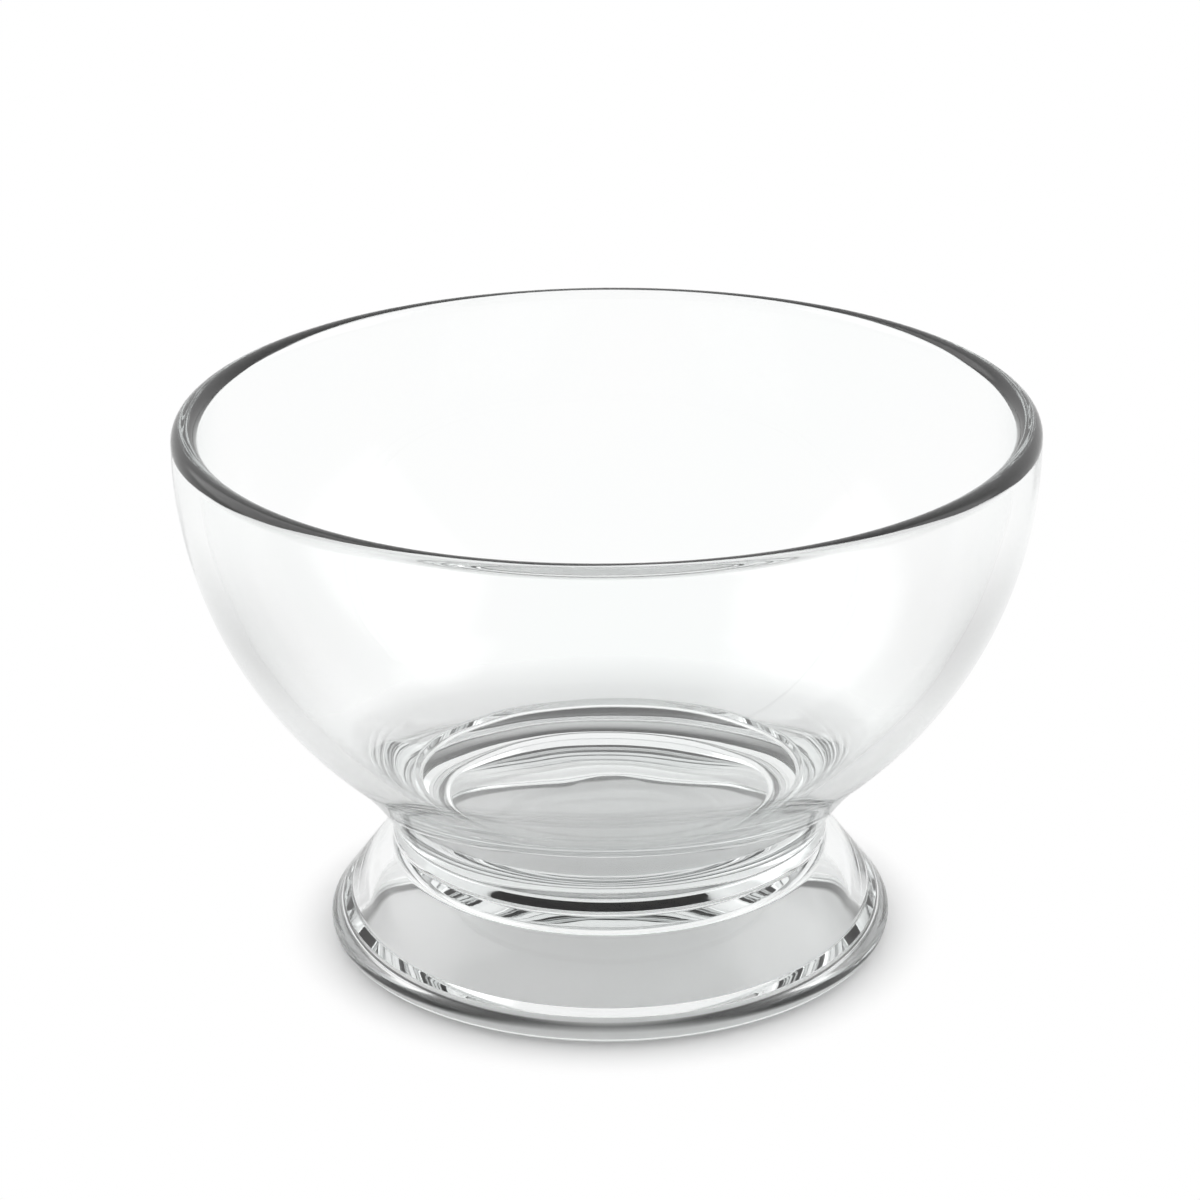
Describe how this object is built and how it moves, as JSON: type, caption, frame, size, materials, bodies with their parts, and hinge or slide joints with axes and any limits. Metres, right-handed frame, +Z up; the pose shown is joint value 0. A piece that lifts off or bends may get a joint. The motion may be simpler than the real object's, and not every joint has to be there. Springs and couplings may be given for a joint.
{
  "type": "footed glass snack bowl",
  "caption": "Clear glass snack bowl with a round cup and full-round lip, swept in to a grooved waist on a low hollow bell foot.",
  "frame": {"origin": "centre of the foot's flat resting ring, at table level", "axes": "+Z up along the axis that the bowl is turned about; X and Y are any two level directions"},
  "size_m": [0.12, 0.12, 0.0776],
  "materials": {
    "bowl_glass": "clear, fire-polished",
    "wafer_glass": "clear, fire-polished",
    "foot_glass": "clear, fire-polished"
  },
  "bodies": {
    "root": {"bowl": "bowl_glass", "joining_wafer": "wafer_glass", "foot": "foot_glass"}
  },
  "joints": []
}
